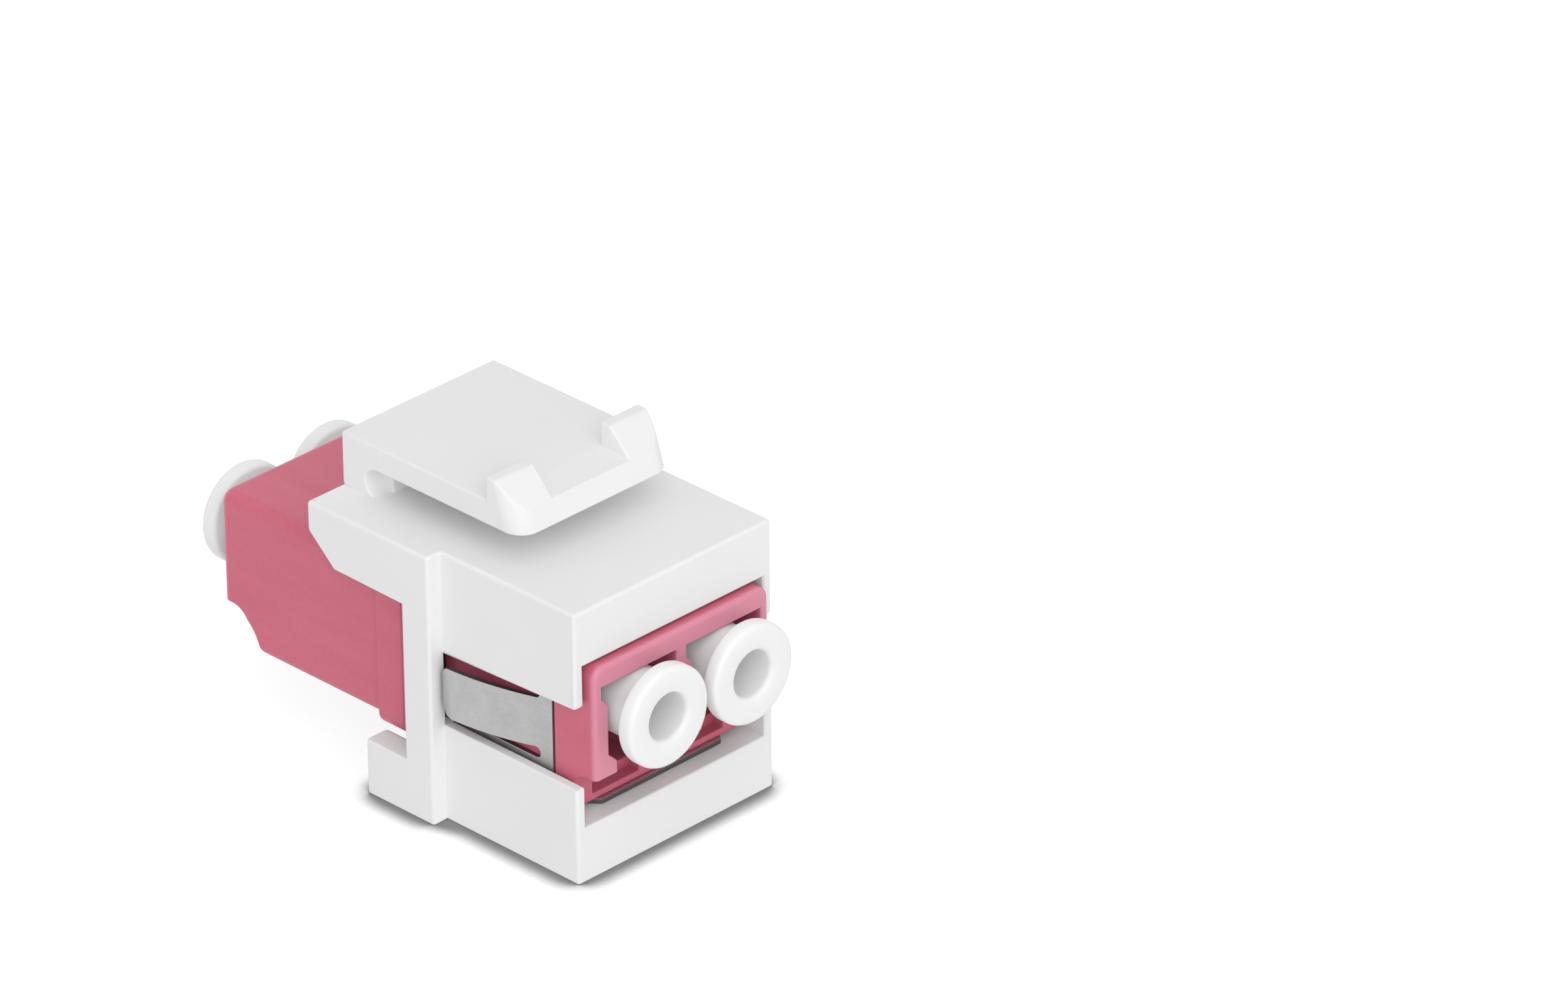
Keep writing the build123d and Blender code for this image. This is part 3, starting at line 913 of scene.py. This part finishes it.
def cap_tree(material):
    """Geometry nodes that turn a cap's profile, with rounded corners, about its axis."""
    tree = bpy.data.node_groups.new("turned_cap", "GeometryNodeTree")
    tree.interface.new_socket("Geometry", in_out="OUTPUT", socket_type="NodeSocketGeometry")
    for label in (
        "Length",
        "Flange radius",
        "Flange thickness",
        "Barrel radius",
        "Bore radius",
        "Socket radius",
        "Socket depth",
        "Web",
        "Rim rounding",
        "Bore rounding",
    ):
        tree.interface.new_socket(label, in_out="INPUT", socket_type="NodeSocketFloat")
    for label in ("Steps around", "Steps per corner"):
        tree.interface.new_socket(label, in_out="INPUT", socket_type="NodeSocketInt")
    for label in ("Place", "Turn"):
        tree.interface.new_socket(label, in_out="INPUT", socket_type="NodeSocketVector")
    size = add_node(tree, "NodeGroupInput").outputs
    nothing = add_node(tree, "ShaderNodeValue").outputs[0]
    nothing.default_value = 0.0
    seat = add_node(
        tree,
        "ShaderNodeMath",
        links={0: size["Length"], 1: size["Flange thickness"]},
        operation="SUBTRACT",
    )
    bore_floor = add_node(
        tree, "ShaderNodeMath", links={0: size["Socket depth"], 1: size["Web"]}, operation="ADD"
    )
    # The corners of the plug part are rounded half as much as the rim
    small = add_node(
        tree, "ShaderNodeMath", {1: 0.5}, {0: size["Rim rounding"]}, operation="MULTIPLY"
    )
    # Each corner: distance from the axis, distance from the inner end, rounding
    corners = [
        (nothing, size["Socket depth"], nothing),
        (size["Socket radius"], size["Socket depth"], nothing),
        (size["Socket radius"], nothing, nothing),
        (size["Barrel radius"], nothing, small.outputs[0]),
        (size["Barrel radius"], seat.outputs[0], small.outputs[0]),
        (size["Flange radius"], seat.outputs[0], size["Rim rounding"]),
        (size["Flange radius"], size["Length"], size["Rim rounding"]),
        (size["Bore radius"], size["Length"], size["Bore rounding"]),
        (size["Bore radius"], bore_floor.outputs[0], size["Bore rounding"]),
        (nothing, bore_floor.outputs[0], nothing),
    ]
    number = add_node(tree, "GeometryNodeInputIndex").outputs[0]
    position = add_node(tree, "GeometryNodeIndexSwitch", data_type="VECTOR")
    rounding = add_node(tree, "GeometryNodeIndexSwitch", data_type="FLOAT")
    for switch in (position, rounding):
        while len(switch.index_switch_items) < len(corners):
            switch.index_switch_items.new()
        tree.links.new(number, switch.inputs["Index"])
    for order, (across, along, radius) in enumerate(corners):
        point = add_node(tree, "ShaderNodeCombineXYZ", links={"X": across, "Y": along})
        tree.links.new(point.outputs[0], position.inputs[order + 1])
        tree.links.new(radius, rounding.inputs[order + 1])
    line = add_node(tree, "GeometryNodeCurvePrimitiveLine")
    points = add_node(
        tree, "GeometryNodeResampleCurve", {"Count": len(corners)}, {"Curve": line.outputs[0]}
    )
    outline = add_node(
        tree,
        "GeometryNodeSetPosition",
        links={"Geometry": points.outputs[0], "Position": position.outputs[0]},
    )
    profile = add_node(
        tree,
        "GeometryNodeFilletCurve",
        {"Limit Radius": True},
        {
            "Curve": outline.outputs[0],
            "Radius": rounding.outputs[0],
            "Count": size["Steps per corner"],
        },
        mode="POLY",
    )
    circle = add_node(
        tree,
        "GeometryNodeCurvePrimitiveCircle",
        {"Radius": NO_WIDTH},
        {"Resolution": size["Steps around"]},
    )
    upright = add_node(
        tree, "GeometryNodeSetCurveNormal", links={"Curve": circle.outputs[0]}, mode="Z_UP"
    )
    turned = add_node(
        tree,
        "GeometryNodeCurveToMesh",
        links={"Curve": upright.outputs[0], "Profile Curve": profile.outputs[0]},
    )
    closed = add_node(
        tree, "GeometryNodeMergeByDistance", {"Distance": TOUCH}, {"Geometry": turned.outputs[0]}
    )
    placed = add_node(
        tree,
        "GeometryNodeTransform",
        links={
            "Geometry": closed.outputs[0],
            "Translation": size["Place"],
            "Rotation": size["Turn"],
        },
    )
    real = add_node(tree, "GeometryNodeRealizeInstances", links={"Geometry": placed.outputs[0]})
    finished = add_node(
        tree, "GeometryNodeSetMaterial", {"Material": material}, {"Geometry": real.outputs[0]}
    )
    add_node(tree, "NodeGroupOutput", links={"Geometry": finished.outputs[0]})
    return tree


class COUPLER_OT_caps(bpy.types.Operator):
    """Makes the four dust caps, each on its own body"""

    bl_idname = "coupler.make_caps"
    bl_label = "Make dust caps"

    def execute(self, context):
        settings = context.scene.coupler_caps
        tree = cap_tree(soft_polyethylene(settings))
        inputs = [item for item in tree.interface.items_tree if item.in_out == "INPUT"]
        sockets = {item.name: item.identifier for item in inputs}
        for node in CAP_NODES:
            low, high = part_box(node)
            middle = (low + high) / 2
            outward = math.copysign(1, middle.y)
            inner_end = low.y if outward > 0 else high.y
            piece = show(bpy.data.meshes.new(node), node.replace("dust_cap", "cap"))
            lathe = piece.modifiers.new("lathe", "NODES")
            lathe.node_group = tree
            sizes = {
                "Length": high.y - low.y,
                "Flange radius": (high.x - low.x) / 2,
                "Flange thickness": settings.flange_thickness,
                "Barrel radius": settings.barrel_radius,
                "Bore radius": settings.bore_radius,
                "Socket radius": settings.socket_radius,
                "Socket depth": settings.socket_depth,
                "Web": settings.web,
                "Rim rounding": settings.rim_rounding,
                "Bore rounding": settings.bore_rounding,
                "Steps around": settings.steps_around,
                "Steps per corner": settings.steps_per_corner,
                "Place": (middle.x, inner_end, middle.z),
                "Turn": (outward * math.pi / 2, 0, 0),
            }
            for label, value in sizes.items():
                lathe[sockets[label]] = value
            bake_modifiers(piece)
            point_outwards(piece.data)
            even_shading(piece)
            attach(piece, node)
            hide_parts(node)
        return {"FINISHED"}


def seen_directly(tree):
    """An output: 1 for camera, glossy and transmission rays, and 0 for the light on the object."""
    rays = add_node(tree, "ShaderNodeLightPath").outputs
    seen = rays["Is Camera Ray"]
    for kind in ("Is Glossy Ray", "Is Transmission Ray"):
        seen = add_node(
            tree, "ShaderNodeMath", links={0: seen, 1: rays[kind]}, operation="MAXIMUM"
        ).outputs[0]
    return seen


def white_sweep(settings):
    """Matt white paper: it shows white in the open, and is darkest where the object rests, in its
    real shadow and in a painted shadow.
    """
    material, tree = start_material("white_sweep")
    paper = linear("F2F2F2")
    matt = add_node(tree, "ShaderNodeBsdfDiffuse", {"Color": paper})
    # Painted shadow: the glow fades where the object hides the sweep's sky
    near = add_node(
        tree,
        "ShaderNodeAmbientOcclusion",
        {"Distance": settings.painted_shadow_reach},
        samples=CONTACT_SAMPLES,
    )
    glow_with_painted_shadow = add_node(
        tree,
        "ShaderNodeMapRange",
        {"From Min": DARKEST_PAINTED_SHADOW, "From Max": OPEN_SWEEP, "To Min": 0.0, "To Max": SWEEP_LIGHT},
        {"Value": near.outputs["AO"]},
        interpolation_type="SMOOTHSTEP",
    )
    glow = add_node(tree, "ShaderNodeEmission", links={"Strength": glow_with_painted_shadow.outputs[0]})
    shown = add_node(
        tree,
        "ShaderNodeMixShader",
        {FACTOR: settings.glow},
        {1: matt.outputs[0], 2: glow.outputs[0]},
    )
    mixed = add_node(
        tree,
        "ShaderNodeMixShader",
        links={FACTOR: seen_directly(tree), 1: matt.outputs[0], 2: shown.outputs[0]},
    )
    add_node(tree, "ShaderNodeOutputMaterial", links={"Surface": mixed.outputs[0]})
    return material


def direction(azimuth, elevation):
    """The unit vector from the object to a place: azimuth 0 is in front, positive to the right."""
    return Vector(
        (
            math.sin(azimuth) * math.cos(elevation),
            -math.cos(azimuth) * math.cos(elevation),
            math.sin(elevation),
        )
    )


def add_softbox(name, aim, towards, distance, level):
    """A square lamp that lights a white face turned to it by the given share of full white."""
    lamp = bpy.data.lights.new(name, "AREA")
    lamp.size = LAMP_SIZE
    lamp.energy = level * (math.pi * distance) ** 2
    holder = bpy.data.objects.new(name, lamp)
    holder.location = aim + distance * towards
    holder.rotation_mode = "QUATERNION"
    holder.rotation_quaternion = (-towards).to_track_quat("-Z", "Y")
    bpy.context.scene.collection.objects.link(holder)


class COUPLER_OT_stage(bpy.types.Operator):
    """Makes the white sweep, the soft light and the camera at the photograph's angle"""

    bl_idname = "coupler.make_stage"
    bl_label = "Make stage and camera"

    def execute(self, context):
        settings = context.scene.coupler_stage
        half = settings.floor_size / 2
        floor_mesh = bpy.data.meshes.new("floor")
        corners = [(-half, -half, 0), (half, -half, 0), (half, half, 0), (-half, half, 0)]
        floor_mesh.from_pydata(corners, [], [(0, 1, 2, 3)])
        floor_mesh.materials.append(white_sweep(settings))
        show(floor_mesh, "floor")

        world = bpy.data.worlds.new("even_light")
        context.scene.world = world
        world.use_nodes = True
        tree = world.node_tree
        tree.nodes.clear()
        white = (1, 1, 1, 1)
        lit = add_node(tree, "ShaderNodeBackground", {"Color": white, "Strength": settings.sky})
        plain = add_node(tree, "ShaderNodeBackground", {"Color": white, "Strength": 1.0})
        mixed = add_node(
            tree,
            "ShaderNodeMixShader",
            links={FACTOR: seen_directly(tree), 1: lit.outputs[0], 2: plain.outputs[0]},
        )
        add_node(tree, "ShaderNodeOutputWorld", links={"Surface": mixed.outputs[0]})

        aim = Vector((0, settings.aim_y, settings.aim_z))
        for name, azimuth, elevation, level in (
            ("overhead", OVERHEAD_AZIMUTH, OVERHEAD_ELEVATION, settings.overhead),
            ("fill", FILL_AZIMUTH, FILL_ELEVATION, settings.fill),
        ):
            towards = direction(math.radians(azimuth), math.radians(elevation))
            add_softbox(name, aim, towards, settings.lamp_distance, level)

        forward = -direction(settings.azimuth, settings.elevation)
        level_right = Vector((math.cos(settings.azimuth), math.sin(settings.azimuth), 0))
        level_up = level_right.cross(forward)
        right = math.cos(settings.roll) * level_right + math.sin(settings.roll) * level_up
        up = math.cos(settings.roll) * level_up - math.sin(settings.roll) * level_right
        lens = bpy.data.cameras.new("camera")
        lens.lens = settings.focal_length
        lens.shift_x = settings.shift_x
        lens.shift_y = settings.shift_y
        lens.clip_start = 10 * MM
        camera = bpy.data.objects.new("camera", lens)
        turn = Matrix((right, up, -forward)).transposed().to_4x4()
        camera.matrix_world = Matrix.Translation(aim - forward * settings.distance) @ turn
        context.scene.collection.objects.link(camera)
        context.scene.camera = camera
        context.scene.view_settings.view_transform = "Standard"
        return {"FINISHED"}


SETTINGS = {
    "coupler_frame": FrameSettings,
    "coupler_adapter": AdapterSettings,
    "coupler_clip": ClipSettings,
    "coupler_caps": CapSettings,
    "coupler_stage": StageSettings,
}
OPERATORS = (
    COUPLER_OT_frame,
    COUPLER_OT_adapter,
    COUPLER_OT_clip,
    COUPLER_OT_sleeves,
    COUPLER_OT_caps,
    COUPLER_OT_stage,
)


class COUPLER_PT_panel(bpy.types.Panel):
    """Lists the steps that dress the coupler, and their sizes and colours"""

    bl_idname = "COUPLER_PT_panel"
    bl_label = "Coupler"
    bl_space_type = "VIEW_3D"
    bl_region_type = "UI"
    bl_category = "Coupler"

    def draw(self, context):
        for operator in OPERATORS:
            self.layout.operator(operator.bl_idname)
        for holder, kind in SETTINGS.items():
            box = self.layout.box()
            box.label(text=kind.__doc__)
            for name in kind.__annotations__:
                box.prop(getattr(context.scene, holder), name)


def register():
    for holder, kind in SETTINGS.items():
        bpy.utils.register_class(kind)
        setattr(bpy.types.Scene, holder, PointerProperty(type=kind))
    for operator in OPERATORS:
        bpy.utils.register_class(operator)
    bpy.utils.register_class(COUPLER_PT_panel)


def unregister():
    bpy.utils.unregister_class(COUPLER_PT_panel)
    for operator in reversed(OPERATORS):
        bpy.utils.unregister_class(operator)
    for holder, kind in reversed(SETTINGS.items()):
        delattr(bpy.types.Scene, holder)
        bpy.utils.unregister_class(kind)


def main():
    register()
    bpy.ops.coupler.make_frame()
    bpy.ops.coupler.make_adapter()
    bpy.ops.coupler.make_clip()
    bpy.ops.coupler.make_sleeves()
    bpy.ops.coupler.make_caps()
    bpy.ops.coupler.make_stage()


if __name__ == "__main__":
    main()
